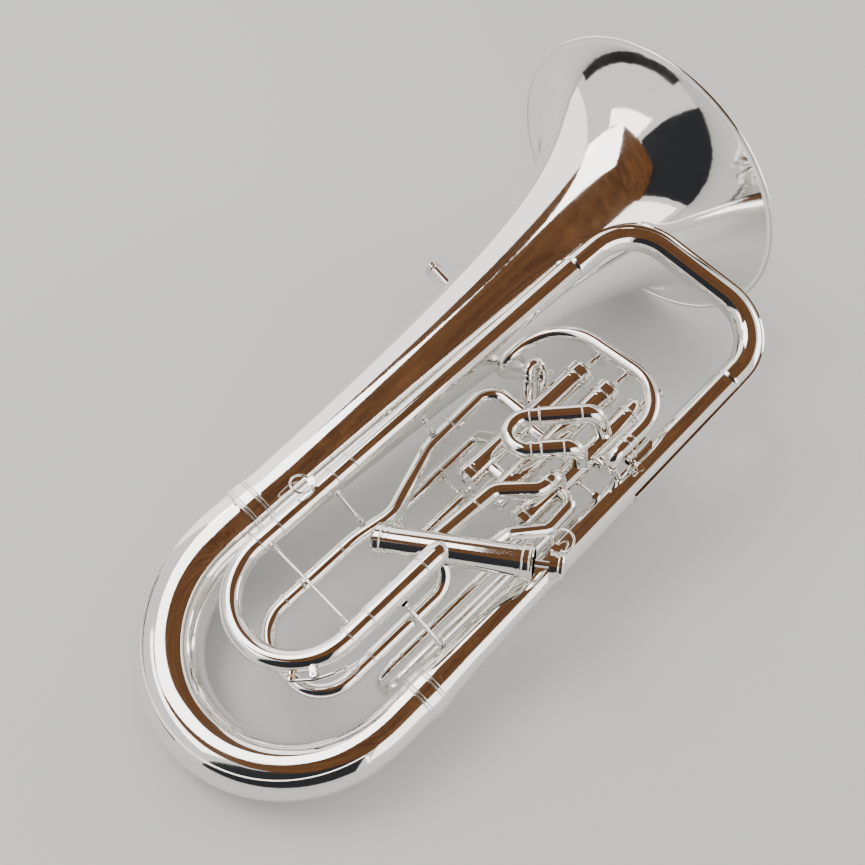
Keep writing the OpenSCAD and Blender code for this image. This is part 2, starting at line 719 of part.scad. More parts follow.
third_w = -22;
third_u = [76, 108.5];
third_v = 258;
third_root = [350, 335];
module third_sleeves()
{
    lay() difference() {
        union() {
            pipe([[[third_u[0], third_v + 9, third_w], 0], [[third_u[0], third_root[0], third_w], 10],
                [[foot(3).x, third_root[0], valve_w], 0]], sleeve_r, sleeve_in);
            pipe([[[third_u[1], third_v + 9, third_w], 0], [[third_u[1], third_root[1], third_w], 9],
                [[third_u[1], third_root[1], valve_w], 0]], sleeve_r, sleeve_in);
            for (u = third_u) for (v = [10.4, 46]) bead([u, third_v + v, third_w], up, sleeve_r);
        }
        valve_space(3);
    }
}

module third_slide()
{
    lay() u_slide([third_u[0], third_v, third_w], [third_u[1], third_v, third_w], up, 52, slide_r, slide_r - wall, 0.9);
}

fourth_w = 16;
fourth_u = [87.6, 168.6];
fourth_v = 131;
fourth_depth = 31.5;
fourth_bend = 30;
module fourth_tubing()
{
    lay() difference() {
        union() {
            pipe([[[fourth_u[0], fourth_v + 18, fourth_w], 0], [[fourth_u[0], 205, fourth_w], 60],
                [[fourth_u[0] + 6.4, 240, fourth_w], 30], [[69, 303, 12], 30], [[64, 380, 10], 16],
                [[foot(3).x, 380, valve_w], 0]], sleeve_r, sleeve_in);
            pipe([[[fourth_u[1], fourth_v + 18, fourth_w], 0], [[fourth_u[1], 234, fourth_w], 20],
                [[146, 236, inner_w - 6], 0]], sleeve_r, sleeve_in);
            for (u = fourth_u) bead([u, fourth_v + 19.4, fourth_w], up, sleeve_r);
            bead([fourth_u[0], fourth_v + 60, fourth_w], up, sleeve_r);
            bead([65.5, 330, 11.4], up, sleeve_r);
        }
        valve_space(3);
        valve_space(4);
    }
}

module fourth_slide()
{
    a = [fourth_u[0], fourth_v, fourth_w];
    b = [fourth_u[1], fourth_v, fourth_w];
    d = [0, fourth_depth, 0];
    lay() {
        pipe([[a + 62 * up, 0], [a - d, fourth_bend], [b - d, fourth_bend], [b + 62 * up, 0]], slide_r, slide_r - wall);
        for (p = [a, b]) {
            tube(p + up, p + 4 * up, slide_r + 0.9, slide_r - 0.1);
            bead(p + 2.5 * up, up, slide_r + 0.9, 0.6);
        }
    }
}

comp_u = 174;
comp_v = 160;
comp_r = 4.8;
// The lower leg's collar rests on the ground.
comp_w = [-12, ground_w(comp_v + 1.5) + comp_r + 1.65];
comp_root = [330, 352];
module compensating_sleeves()
{
    lay() difference() {
        union() {
            for (k = [0, 1]) {
                pipe([[[comp_u, comp_v + 8, comp_w[k]], 0], [[comp_u, comp_root[k], comp_w[k]], 7],
                    [[comp_u, comp_root[k], valve_w], 0]], comp_r + slide_fit + sleeve_wall, comp_r + slide_fit);
                bead([comp_u, comp_v + 9.4, comp_w[k]], up, comp_r + slide_fit + sleeve_wall);
                bead([comp_u, comp_v + 44, comp_w[k]], up, comp_r + slide_fit + sleeve_wall);
            }
        }
        valve_space(1);
    }
}

module compensating_slide()
{
    lay() u_slide([comp_u, comp_v, comp_w[0]], [comp_u, comp_v, comp_w[1]], up, 60, comp_r, comp_r - wall, 0.8);
}

// Tubes that lead from the first valve to the fourth and back, and the knuckles between valves.
link_r = 7.2;
return_r = 5.8;
link_low = [146, 303, 33];
link_foot = [146, 236, inner_w - 6];
module linking_tubes()
{
    v1 = foot(1);
    lay() difference() {
        union() {
            pipe([[[v1.x + 1, 347, valve_w], 0], [[v1.x + 1, 347, 31], 9.5], [[v1.x + 1, 329, 31], 14],
                [link_low, 14], [link_foot, 0]], link_r, link_r - wall);
            bead([v1.x + 1, 336.1, 31], up, link_r, 0.8);
            bead(mix(link_low, link_foot, 0.3), unit(link_low - link_foot), link_r, 0.8);
            pipe([[[180, 251, inner_w], 0], [[177, 284, 30], 12], [[194, 312, 19], 12], [[192, 341, 18], 9],
                [[v1.x, 345, valve_w], 0]], return_r, return_r - wall);
            for (k = [2, 3], v = [valve_foot_v + 18, valve_foot_v + 66])
                tube([foot(k).x, v, valve_w], [foot(k - 1).x, v, valve_w], 6.4, 5.7);
        }
        for (i = [1 : 4]) valve_space(i);
    }
}

// ---- stays and fittings ------------------------------------------------------------------
// Point on the bell's stem at height v, on the side of the inner branch.
function bell_side(v) = [(horn_r(v) + 0.4) * 0.735, v, (horn_r(v) + 0.4) * 0.68];

module stays()
{
    lay() difference() { union() {
        // inner branch to the fourth valve's tube, low and high
        turned_brace([inner_u + 7, 217, inner_w - 6.5], [fourth_u[0] - 5, 217, fourth_w + 6], 1.5);
        turned_brace([inner_u + 4, 312, inner_w - 10.7], [inner_u + 13.8, 312, 18.8], 1.5);
        // main tuning sleeve to the outer branch
        turned_brace([inner_u + tuning_span + 8.6, 191, inner_w - 4.6], [branch_u - 11.9, 193, 10.6], 1.6);
        // bell to inner branch
        turned_brace(bell_side(300), [inner_u - 7.4, 300, inner_w - 7.4], 2.2);
        turned_brace(bell_side(452), [inner_u - 8.1, 452, inner_w - 8.1], 2.2);
        // first valve to the outer branch
        turned_brace([foot(1).x + casing_r(1) + touch, 362, valve_w], [branch_at(362).x - 10.4, 362, valve_w], 1.7);
        turned_brace([foot(1).x + casing_r(1) + touch, 421, valve_w], [branch_at(421).x - 9.9, 421, valve_w], 1.7);
        // leadpipe's end to the outer branch
        difference() {
            tube([lead_leg_u + 2, 385, 22], [branch_at(385).x - 4.6, 385, 10], 2.2);
            cut([lead_leg_u, lead_port_v, lead_w], [lead_leg_u - 3.5, lead_port_v + 3, valve_w], lead_r + touch);
        }
        // between the legs of the third valve's sleeves
        turned_brace([third_u[0] + sleeve_r, 300, third_w], [third_u[1] - sleeve_r, 300, third_w], 1.3);
        }
        cut(branch_at(350), branch_at(440), 12.76);
        cut(branch_at(180), branch_at(205), 16.8);
    }
}

// Wire ring for a strap, held in a block on a tube. p is on the tube, n points away from it.
module strap_ring(p, n, lean)
{
    m = unit(lean);
    b = unit(cross(n, m));
    translate(p + 8.5 * m) frame_at([0, 0, 0], m, b, cross(m, b)) rotate_extrude()
        translate([8.5, 0]) circle(0.9, $fn = 24);
    frame_at(p, cross(b, n), b, n) translate([0, 0, -0.6]) cube([5.5, 7, 5], center = true);
}

module strap_rings()
{
    lay() {
        strap_ring([branch_at(304).x + 1, 304, 17.4], [0, 0, 1], [0, 0.92, 0.4]);
        strap_ring([inner_u - 3, 206, inner_w + 13.2], [0, 0, 1], [-0.3, -0.86, 0.4]);
    }
}

lyre = [lead_leg_u + 6.4, 411, 20];
module lyre_socket()
{
    lay() translate(lyre) difference() {
        union() {
            cube([8.6, 20, 9], center = true);
            translate([0, -12, 0]) cube([8.6, 7, 9], center = true);
        }
        cube([4.4, 60, 5], center = true);
        for (x = [-2.2, 0, 2.2]) translate([x, 1.5, 4.5]) cube([0.9, 15, 1.4], center = true);
        cut([0, -12, 0], [12, -12, 0], 1.65);
    }
}

module lyre_screw()
{
    lay() translate(lyre + [0, -12, 0]) {
        rotate([0, 90, 0]) translate([0, 0, 2.3]) cylinder(h = 5, r = 1.6);
        rotate([0, 90, 0]) translate([0, 0, 7]) cylinder(h = 1.6, r = 2.4);
        translate([10.6, 0, -0.7]) cylinder(h = 1.4, r = 3);
    }
}

bell();
bell_rim_wire();
bell_ferrule();
bottom_bow();
bottom_bow_guard();
branch_ferrule();
outer_branch();
top_bow();
top_bow_guard();
inner_branch();
tuning_sleeves();
leadpipe();
mouthpiece_receiver();
first_sleeves();
second_sleeves();
third_sleeves();
fourth_tubing();
compensating_sleeves();
linking_tubes();
stays();
strap_rings();
lyre_socket();
lyre_screw();
casing(1);  // casing_1
casing(2);  // casing_2
casing(3);  // casing_3
casing(4);  // casing_4
top_caps();
bottom_caps();
piston(1);  // piston_1
piston(2);  // piston_2
piston(3);  // piston_3
piston(4);  // piston_4
button(1);  // button_1
button(2);  // button_2
button(3);  // button_3
button(4);  // button_4
pearl(1);  // pearl_1
pearl(2);  // pearl_2
pearl(3);  // pearl_3
pearl(4);  // pearl_4
coil_spring(1);  // spring_1
coil_spring(2);  // spring_2
coil_spring(3);  // spring_3
coil_spring(4);  // spring_4
main_tuning_slide();
tuning_slide_brace();
first_slide();
second_slide();
third_slide();
fourth_slide();
compensating_slide();
water_key();
key_cork();
key_pin();
key_spring();
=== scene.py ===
"""Looks for a silver-plated compensating tenor tuba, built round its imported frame."""

import json
import logging
import math
from dataclasses import dataclass
from typing import Any, Callable

import bmesh
import bpy
from mathutils import Matrix, Vector


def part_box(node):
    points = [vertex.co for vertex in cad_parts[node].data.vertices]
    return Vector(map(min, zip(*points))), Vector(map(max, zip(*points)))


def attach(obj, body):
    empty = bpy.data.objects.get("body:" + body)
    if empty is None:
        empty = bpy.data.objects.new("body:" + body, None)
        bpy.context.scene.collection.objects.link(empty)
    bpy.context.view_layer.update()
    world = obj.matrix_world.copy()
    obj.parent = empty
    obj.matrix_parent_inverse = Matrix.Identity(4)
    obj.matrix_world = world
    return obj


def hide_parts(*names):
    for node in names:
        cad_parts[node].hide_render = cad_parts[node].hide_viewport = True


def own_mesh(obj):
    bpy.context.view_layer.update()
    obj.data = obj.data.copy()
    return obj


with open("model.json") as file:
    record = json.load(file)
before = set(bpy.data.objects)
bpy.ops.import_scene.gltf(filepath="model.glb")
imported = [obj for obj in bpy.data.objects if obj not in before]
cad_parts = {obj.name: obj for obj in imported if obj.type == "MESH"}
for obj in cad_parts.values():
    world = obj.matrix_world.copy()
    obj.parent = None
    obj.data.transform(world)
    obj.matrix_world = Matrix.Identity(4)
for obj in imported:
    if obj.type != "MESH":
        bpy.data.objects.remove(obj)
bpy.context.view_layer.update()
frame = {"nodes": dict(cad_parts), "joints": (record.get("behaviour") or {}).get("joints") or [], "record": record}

log = logging.getLogger("tuba")
MM = 0.001
ACROSS, UP, FRONT = Vector((1, 0, 0)), Vector((0, 1, 0)), Vector((0, 0, 1))


# ---- shader helpers ---------------------------------------------------------------------


class Wire:
    """A value in a shader, which adds Math nodes under arithmetic."""

    def __init__(self, graph: "Graph", socket: Any) -> None:
        """Keeps the graph and the output socket, or a plain number."""
        self.graph = graph
        self.socket = socket

    def _maths(self, operation: str, first: Any, second: Any = 0.0) -> "Wire":
        """Adds one Math node.

        Args:
            operation: The Math node's operation.
            first: Its first value.
            second: Its second value.

        Returns:
            The node's value.
        """
        return self.graph.node("ShaderNodeMath", {"operation": operation}, {0: first, 1: second})["Value"]

    def __add__(self, other: Any) -> "Wire":
        """This value plus another."""
        return self._maths("ADD", self, other)

    def __radd__(self, other: Any) -> "Wire":
        """Another value plus this one."""
        return self._maths("ADD", other, self)

    def __sub__(self, other: Any) -> "Wire":
        """This value less another."""
        return self._maths("SUBTRACT", self, other)

    def __rsub__(self, other: Any) -> "Wire":
        """Another value less this one."""
        return self._maths("SUBTRACT", other, self)

    def __mul__(self, other: Any) -> "Wire":
        """This value times another."""
        return self._maths("MULTIPLY", self, other)

    def __rmul__(self, other: Any) -> "Wire":
        """Another value times this one."""
        return self._maths("MULTIPLY", other, self)

    def __pow__(self, other: Any) -> "Wire":
        """This value raised to a power."""
        return self._maths("POWER", self, other)


class Outputs:
    """The outputs of one node, read by name."""

    def __init__(self, graph: "Graph", node: Any) -> None:
        """Keeps the node."""
        self.graph = graph
        self.node = node

    def __getitem__(self, name: str) -> Wire:
        """The output of that name."""
        return Wire(self.graph, self.node.outputs[name])


class Graph:
    """A material's node tree."""

    def __init__(self, name: str) -> None:
        """Makes an empty material with its output and its Principled shader."""
        self.material = bpy.data.materials.new(name)
        self.material.use_nodes = True
        self.tree = self.material.node_tree
        self.shader = next(n for n in self.tree.nodes if n.type == "BSDF_PRINCIPLED")

    def node(self, kind: str, settings: dict[str, Any], values: dict[Any, Any]) -> Outputs:
        """Adds any node.

        Args:
            kind: The node's type name.
            settings: Its own properties, set first; "stops" are a ramp's.
            values: The numbers, colours or wires of its input sockets.

        Returns:
            Its outputs.
        """
        made = self.tree.nodes.new(kind)
        for key, value in settings.items():
            if key == "stops":
                ramp = made.color_ramp.elements
                while len(ramp) < len(value):
                    ramp.new(0.5)
                for stop, (place, colour) in zip(ramp, value):
                    stop.position = place
                    stop.color = colour
            else:
                setattr(made, key, value)
        for key, value in values.items():
            self.join(made.inputs[key], value)
        return Outputs(self, made)

    def join(self, socket: Any, value: Any) -> None:
        """Sets a socket to a number or links a wire to it."""
        if isinstance(value, Wire):
            self.tree.links.new(value.socket, socket)
        else:
            socket.default_value = value

    def set(self, **values: Any) -> None:
        """Sets the Principled shader's sockets, with _ for a space in a name."""
        for key, value in values.items():
            self.join(self.shader.inputs[key.replace("_", " ")], value)

    def place(self, scale: tuple[float, float, float] = (1, 1, 1)) -> Wire:
        """The piece's own coordinates, stretched."""
        source = self.node("ShaderNodeTexCoord", {}, {})["Object"]
        return self.node("ShaderNodeMapping", {}, {"Vector": source, "Scale": scale})["Vector"]

    def noise(self, vector: Wire, scale: float, detail: float = 3.0, rough: float = 0.5) -> Wire:
        """Cloudy noise between 0 and 1."""
        return self.node("ShaderNodeTexNoise", {}, {"Vector": vector, "Scale": scale,
                                                    "Detail": detail, "Roughness": rough})["Fac"]

    def ramp(self, value: Wire, low: float, high: float) -> Wire:
        """Spreads a value from low..high over 0..1."""
        return self.node("ShaderNodeMapRange", {"clamp": True},
                         {"Value": value, "From Min": low, "From Max": high})["Result"]

    def tint(self, share: Any, first: tuple[float, ...], second: tuple[float, ...]) -> Wire:
        """Mixes two colours by a share."""
        mixed = self.tree.nodes.new("ShaderNodeMix")
        mixed.data_type = "RGBA"
        self.join(mixed.inputs["Factor"], share)
        for socket, colour in zip([s for s in mixed.inputs if s.type == "RGBA"], (first, second)):
            self.join(socket, colour)
        return Wire(self, next(s for s in mixed.outputs if s.type == "RGBA"))

    def bump(self, height: Wire, strength: float, distance: float) -> Wire:
        """A normal that follows a height."""
        return self.node("ShaderNodeBump", {}, {"Height": height, "Strength": strength,
                                                "Distance": distance})["Normal"]


@dataclass(frozen=True)
class Plate:
    """Polished metal: its two tones, its gloss and the faint marks of polishing."""

    name: str
    bright: tuple[float, float, float, float]
    worn: tuple[float, float, float, float]
    gloss: float = 0.035
    haze: float = 0.05
    ripple: float = 0.10
    scratches: float = 0.05

    def make(self) -> bpy.types.Material:
        """Builds the material."""
        g = Graph(self.name)
        here = g.place()
        cloud = g.noise(here, 22, 4)
        patch = g.ramp(g.noise(here, 55, 5, 0.6), 0.52, 0.78)
        wipe = g.noise(g.place((1, 0.12, 1)), 900, 3, 0.65)
        g.set(Base_Color=g.tint(patch * 0.55, self.bright, self.worn),
              Metallic=1.0,
              Roughness=self.gloss + self.haze * g.ramp(cloud, 0.42, 0.75) + patch * 0.03 + wipe * 0.02,
              Normal=g.bump(g.noise(here, 70, 2) + wipe * self.scratches, self.ripple, 0.0006))
        return g.material


@dataclass(frozen=True)
class Steel:
    """Ground or drawn metal, with fine rings of tooling along one direction."""

    name: str
    colour: tuple[float, float, float, float]
    roughness: float = 0.28
    lines: float = 2600

    def make(self) -> bpy.types.Material:
        """Builds the material."""
        g = Graph(self.name)
        grain = g.noise(g.place((0.1, 1, 0.1)), self.lines, 2)
        cloud = g.noise(g.place(), 90, 3)
        dull = tuple(0.8 * c for c in self.colour[:3]) + (1,)
        g.set(Base_Color=g.tint(cloud, dull, self.colour), Metallic=1.0,
              Roughness=self.roughness + 0.12 * grain + 0.06 * cloud,
              Normal=g.bump(grain, 0.12, 0.0002))
        return g.material


@dataclass(frozen=True)
class Shell:
    """Mother-of-pearl: pale, with wavering bands of rose and green under a hard gloss."""

    name: str

    def make(self) -> bpy.types.Material:
        """Builds the material."""
        g = Graph(self.name)
        here = g.place()
        drift = g.noise(here, 160, 4, 0.6)
        bands = g.node("ShaderNodeTexWave", {"wave_type": "BANDS", "bands_direction": "DIAGONAL"},
                       {"Vector": here, "Scale": 90, "Distortion": 9, "Detail": 3,
                        "Detail Scale": 1.6})["Fac"]
        rose = g.tint(g.ramp(drift, 0.35, 0.7), (0.86, 0.83, 0.76, 1), (0.93, 0.80, 0.78, 1))
        g.set(Base_Color=g.tint(bands * 0.6, rose, (0.74, 0.84, 0.80, 1)),
              Roughness=0.12 + 0.12 * drift, Coat_Weight=0.9, Coat_Roughness=0.03,
              Normal=g.bump(bands, 0.08, 0.0002))
        return g.material


@dataclass(frozen=True)
class Cork:
    """Cut cork: light brown cells with dark pores."""

    name: str

    def make(self) -> bpy.types.Material:
        """Builds the material."""
        g = Graph(self.name)
        here = g.place()
        cells = g.node("ShaderNodeTexVoronoi", {"feature": "F1"}, {"Vector": here, "Scale": 1400})["Distance"]
        pores = g.ramp(g.noise(here, 900, 4), 0.55, 0.72)
        body = g.tint(cells, (0.46, 0.27, 0.13, 1), (0.66, 0.45, 0.25, 1))
        g.set(Base_Color=g.tint(pores, body, (0.14, 0.07, 0.03, 1)), Roughness=0.8 + 0.12 * cells,
              Normal=g.bump(cells - pores, 0.5, 0.0003))
        return g.material


# ---- shapes ------------------------------------------------------------------------------


@dataclass(frozen=True)
class Horn:
    """The horn's own directions in the frame: across to the branches, up the bell, to the front."""

    origin: Vector
    up: Vector

    def matrix(self) -> Matrix:
        """Takes millimetres of the horn's own coordinates to metres of the frame."""
        front = ACROSS.cross(self.up)
        turn = Matrix((ACROSS, self.up, front)).transposed().to_4x4()
        return Matrix.Translation(self.origin) @ turn @ Matrix.Scale(MM, 4)

    @staticmethod
    def read(rim_height: float) -> "Horn":
        """Finds the horn in the frame from its rim and from the pull of its tuning slide.

        Args:
            rim_height: Millimetres from the horn's origin to the middle of the rim wire.

        Returns:
            The horn's place.
        """
        pull = next(j for j in frame["joints"] if j["name"] == "tuning_slide_pull")
        up = -Vector(pull["axis"]).normalized()
        low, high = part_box("bell_rim_wire")
        return Horn((low + high) / 2 - up * rim_height * MM, up)


class Sweep:
    """A skin grown ring by ring along a path, with a radius that may change."""

    def __init__(self, centre: Vector, heading: Vector, off: Vector, radius: float,
                 sides: int = 72, arc: tuple[float, float] | None = None) -> None:
        """Starts with one ring, or with an arc of it.

        Args:
            centre: Middle of the first ring.
            heading: Direction that the skin grows in.
            off: Direction out of the path's plane.
            radius: The first ring's radius.
            sides: Points round a whole ring.
            arc: First and last angle in degrees of an open arc, from the inside of the bend.
        """
        self.bm = bmesh.new()
        self.centre, self.heading, self.off, self.radius = centre.copy(), heading.normalized(), off, radius
        side = off.cross(self.heading).normalized()
        if arc is None:
            turn = Matrix((side, self.heading.cross(side), self.heading)).transposed().to_4x4()
            bmesh.ops.create_circle(self.bm, cap_ends=False, radius=radius, segments=sides,
                                    matrix=Matrix.Translation(centre) @ turn)
        else:
            first = Matrix.Rotation(math.radians(arc[0]), 3, self.heading) @ side
            start = self.bm.verts.new(centre + radius * first)
            bmesh.ops.spin(self.bm, geom=[start], cent=centre, axis=self.heading,
                           angle=math.radians(arc[1] - arc[0]), steps=sides, use_duplicate=False)
        self.front = list(self.bm.edges)

    def _grow(self, place: Callable[[list[Any]], None], radius: float) -> None:
        """Adds one ring: the last is copied, put in place and scaled to a new radius."""
        made = bmesh.ops.extrude_edge_only(self.bm, edges=self.front)["geom"]
        verts = [v for v in made if isinstance(v, bmesh.types.BMVert)]
        ring = set(verts)
        self.front = [e for e in made if isinstance(e, bmesh.types.BMEdge) and set(e.verts) <= ring]
        place(verts)
        bmesh.ops.scale(self.bm, vec=Vector((1, 1, 1)) * (radius / self.radius), verts=verts,
                        space=Matrix.Translation(-self.centre))
        self.radius = radius

    def straight(self, length: float, radius: float | None = None, steps: int = 1) -> "Sweep":
        """Grows straight on for a length, to a radius."""
        end = self.radius if radius is None else radius
        begin = self.radius
        for k in range(1, steps + 1):
            move = self.heading * length / steps
            self.centre = self.centre + move
            self._grow(lambda verts: bmesh.ops.translate(self.bm, vec=move, verts=verts),
                       begin + (end - begin) * k / steps)
        return self

    def bend(self, toward: Vector, bend_radius: float, degrees: float, steps: int,
             sizes: Callable[[float], float] | None = None) -> "Sweep":
        """Grows round a bend.

        Args:
            toward: Direction from the path to the bend's centre.
            bend_radius: Radius of the bend's centre line.
            degrees: Angle turned.
            steps: Rings added.
            sizes: The ring's radius after a share of the bend.
        """
        pivot = self.centre + toward.normalized() * bend_radius
        axis = self.heading.cross(toward).normalized()
        step = Matrix.Rotation(math.radians(degrees / steps), 3, axis)
        for k in range(1, steps + 1):
            self.centre = pivot + step @ (self.centre - pivot)
            self.heading = step @ self.heading
            self._grow(lambda verts: bmesh.ops.rotate(self.bm, cent=pivot, matrix=step, verts=verts),
                       self.radius if sizes is None else sizes(k / steps))
        return self


def finish(bm: bmesh.types.BMesh, name: str, body: str, material: bpy.types.Material,
           place: Matrix, smooth: float = 32.0) -> bpy.types.Object:
    """Turns a bmesh in the horn's millimetres into a piece that rides on a body.

    Args:
        bm: The shape.
        name: The piece's name.
        body: The body that it rides on.
        material: Its material.
        place: The horn's matrix.
        smooth: Angle in degrees over which an edge stays sharp.

    Returns:
        The piece.
    """
    bmesh.ops.transform(bm, matrix=place, verts=bm.verts)
    bmesh.ops.recalc_face_normals(bm, faces=bm.faces)
    for face in bm.faces:
        face.smooth = True
    for edge in bm.edges:
        edge.smooth = len(edge.link_faces) != 2 or edge.calc_face_angle(0) < math.radians(smooth)
    mesh = bpy.data.meshes.new(name)
    bm.to_mesh(mesh)
    bm.free()
    mesh.materials.append(material)
    piece = bpy.data.objects.new(name, mesh)
    bpy.context.scene.collection.objects.link(piece)
    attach(piece, body)
    return piece


def thicken(piece: bpy.types.Object, wall: float) -> None:
    """Gives an open skin a wall, inwards from its face."""
    shell = piece.modifiers.new("wall", "SOLIDIFY")
    shell.thickness = wall * MM
    shell.offset = -1
    shell.use_even_offset = True


def outwards(bm: bmesh.types.BMesh, centre: Callable[[Vector], Vector]) -> None:
    """Turns every face of an open skin away from the line that it goes round."""
    bm.normal_update()
    wrong = [f for f in bm.faces if f.normal.dot(f.calc_center_median() - centre(f.calc_center_median())) < 0]
    bmesh.ops.reverse_faces(bm, faces=wrong)


# ---- the large bore ----------------------------------------------------------------------


@dataclass
class Bell:
    """The bell: a horn curve turned on the bell's axis, with its wall."""

    rim: float = 151.0
    top: float = 655.0
    flare: float = 37.0
    power: float = 0.61
    stem: float = 31.0
    joint: float = 166.0
    sheet: float = 0.9
    mouth: float = 652.6
    rings: int = 90
    sides: int = 192

    def radius(self, height: float) -> float:
        """Outer radius at a height on the axis."""
        horn = self.rim * (self.flare / (self.flare + self.top - height)) ** self.power
        return max(self.stem, horn)

    def make(self, horn: Horn, silver: bpy.types.Material) -> None:
        """Builds the bell and puts it for the frame's own."""
        bm = bmesh.new()
        outline = []
        for i in range(self.rings + 1):
            share = 1 - (1 - i / self.rings) ** 2
            height = self.joint + (self.mouth - self.joint) * share
            outline.append(bm.verts.new((self.radius(height), height, 0)))
        edges = [bm.edges.new(pair) for pair in zip(outline, outline[1:])]
        bmesh.ops.spin(bm, geom=outline + edges, cent=(0, 0, 0), axis=(0, 1, 0),
                       angle=math.tau, steps=self.sides, use_merge=True, use_duplicate=False)
        outwards(bm, lambda p: Vector((0, p.y, 0)))
        piece = finish_open(bm, "bell_skin", "horn", silver, horn.matrix())
        thicken(piece, self.sheet)
        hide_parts("bell")


def finish_open(bm: bmesh.types.BMesh, name: str, body: str, material: bpy.types.Material,
                place: Matrix) -> bpy.types.Object:
    """Finishes an open skin whose faces already point outwards, as finish does."""
    bmesh.ops.transform(bm, matrix=place, verts=bm.verts)
    for face in bm.faces:
        face.smooth = True
    mesh = bpy.data.meshes.new(name)
    bm.to_mesh(mesh)
    bm.free()
    mesh.materials.append(material)
    piece = bpy.data.objects.new(name, mesh)
    bpy.context.scene.collection.objects.link(piece)
    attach(piece, body)
    return piece


@dataclass
class BottomBow:
    """The bottom bow and the guard round its outside."""

    span: float = 210.5
    joint: float = 166.0
    rise: float = 25.2
    wide: float = 31.0
    narrow: float = 18.2
    taper: float = 1.2
    wall: float = 0.8
    guard_gap: float = 0.16
    guard_wall: float = 0.8
    guard_half: float = 58.0
    steps: int = 96

    def radius(self, share: float) -> float:
        """Radius of the bow after a share of its half turn."""
        return self.narrow + (self.wide - self.narrow) * (1 - share) ** self.taper

    def make(self, horn: Horn, silver: bpy.types.Material) -> None:
        """Builds the bow and its guard."""
        bend = self.span / 2
        middle = Vector((bend, bend + self.rise, 0))

        def core(point: Vector) -> Vector:
            """The nearest point of the bow's centre line."""
            if point.y > middle.y:
                return Vector((0 if point.x < bend else self.span, point.y, 0))
            flat = Vector((point.x - middle.x, point.y - middle.y, 0))
            return middle + flat.normalized() * bend

        tube = Sweep(Vector((0, self.joint, 0)), -UP, FRONT, self.wide, 96)
        tube.straight(self.joint - middle.y, self.wide, 3)
        tube.bend(ACROSS, bend, 180, self.steps, self.radius)
        tube.straight(self.joint - middle.y, self.narrow, 3)
        outwards(tube.bm, core)
        piece = finish_open(tube.bm, "bottom_bow_skin", "horn", silver, horn.matrix())
        thicken(piece, self.wall)
        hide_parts("bottom_bow")

        first, last = 3 / 26, 25 / 26 - 1 / 26
        off = self.guard_gap + self.guard_wall
        begin = math.radians(180 * first)
        start = middle + bend * Vector((-math.cos(begin), -math.sin(begin), 0))
        heading = Vector((math.sin(begin), -math.cos(begin), 0))
        strip = Sweep(start, heading, FRONT, self.radius(first) + off, 40,
                      (180 - self.guard_half, 180 + self.guard_half))
        strip.bend(middle - start, bend, 180 * (last - first), self.steps,
                   lambda share: self.radius(first + (last - first) * share) + off)
        outwards(strip.bm, core)
        guard = finish_open(strip.bm, "bottom_bow_guard_skin", "horn", silver, horn.matrix())
        thicken(guard, self.guard_wall)
        soften(guard, 0.35)
        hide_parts("bottom_bow_guard")


def soften(piece: bpy.types.Object, width: float, segments: int = 2) -> None:
    """Rounds a piece's sharp edges with a modifier."""
    edge = piece.modifiers.new("edge", "BEVEL")
    edge.width = width * MM
    edge.segments = segments
    edge.limit_method = "ANGLE"
    edge.angle_limit = math.radians(40)
    edge.harden_normals = False


@dataclass
class TopBow:
    """The top bow over the crown."""

    inner: tuple[float, float] = (52.0, 48.0)
    outer: float = 210.5
    lean: float = 5.5
    crown: float = 576.5
    drop: float = 60.0
    bend: float = 47.0
    inner_r: float = 11.2
    outer_r: float = 11.9
    wall: float = 0.7
    guard_half: float = 32.0
    guard_foot: float = 366.0

    def corners(self) -> list[Vector]:
        """The path's ends and its two corners."""
        end = Vector((self.outer - self.lean, self.crown - self.drop, 0))
        return [Vector((self.inner[0], self.crown - self.drop - 18, self.inner[1])),
                Vector((self.inner[0] + 6.5, self.crown - 11, self.inner[1] + 8)),
                Vector((end.x - 1, self.crown + 6, 3)), end]

    def make(self, horn: Horn, silver: bpy.types.Material) -> None:
        """Builds the bow as one skin through both bends."""
        path = self.corners()
        off = UP.cross(Vector((self.outer - self.inner[0], 0, -self.inner[1]))).normalized()
        tube = walk(path, self.bend, self.inner_r, self.outer_r, off, 80)
        piece = finish_open(tube.bm, "top_bow_skin", "horn", silver, horn.matrix())
        thicken(piece, self.wall)
        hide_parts("top_bow")


